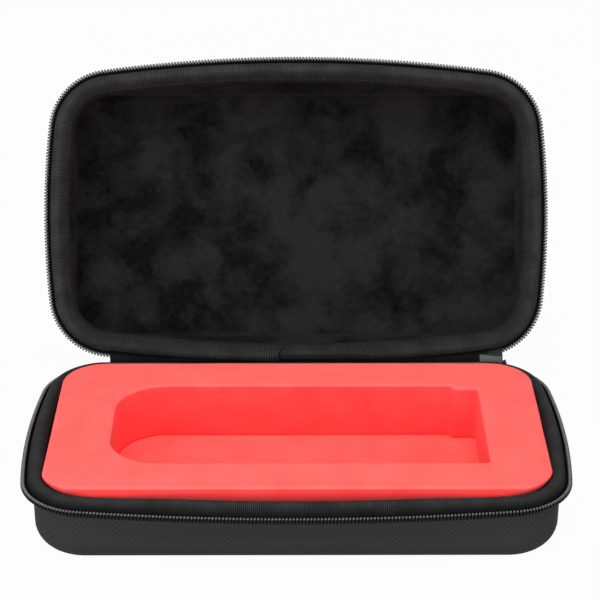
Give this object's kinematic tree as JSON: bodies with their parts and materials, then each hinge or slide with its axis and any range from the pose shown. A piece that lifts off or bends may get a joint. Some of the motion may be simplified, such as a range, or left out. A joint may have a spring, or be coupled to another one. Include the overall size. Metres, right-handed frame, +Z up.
{
  "type": "zip-round carrying case",
  "caption": "Moulded soft-shell carrying case, lid open on a fabric hinge, with a zip round the rim, a plush-lined lid and a red foam insert with a cut-out bed.",
  "frame": {"origin": "middle of the base's underside", "axes": "+X along the case's long side, -Y to the front, +Z up from the surface that it stands on"},
  "size_m": [0.2714, 0.2564, 0.1818],
  "materials": {
    "shell_fabric": "matte embossed",
    "plush_lining": "short pile",
    "binding_tape": "ribbed weave",
    "zip_tape": "woven",
    "zip_coil": "satin",
    "hinge_fabric": "woven",
    "red_foam": "open-cell sponge",
    "black_metal": "satin"
  },
  "bodies": {
    "base": {"base_shell": "shell_fabric", "base_binding": "binding_tape", "base_zip_tape": "zip_tape", "base_zip_teeth": "zip_coil", "base_hinge_leaf": "hinge_fabric", "base_left_end_tab": "hinge_fabric", "base_right_end_tab": "hinge_fabric", "foam_floor": "red_foam", "foam_insert": "red_foam"},
    "lid": {"lid_shell": "shell_fabric", "lid_binding": "binding_tape", "lid_zip_tape": "zip_tape", "lid_zip_teeth": "zip_coil", "lid_hinge_leaf": "hinge_fabric", "lid_left_end_tab": "hinge_fabric", "lid_right_end_tab": "hinge_fabric"},
    "slider": {"zip_slider": "black_metal"},
    "pull": {"zip_pull": "black_metal"}
  },
  "joints": [
    {"name": "lid_hinge", "type": "hinge", "parent": "base", "child": "lid", "pos_m": [0, 0.07885, 0.0345], "axis": [1, 0, 0], "range_deg": [0, 114.4]},
    {"name": "slider_run", "type": "hinge", "parent": "base", "child": "slider", "pos_m": [0.09957, 0.04366, 0.0345], "axis": [0, 0, -1], "range_deg": [0, 60]},
    {"name": "pull_swing", "type": "hinge", "parent": "slider", "child": "pull", "pos_m": [0.10981, 0.07963, 0.0318], "axis": [0.9617, -0.274, 0], "range_deg": [0, 60]}
  ]
}
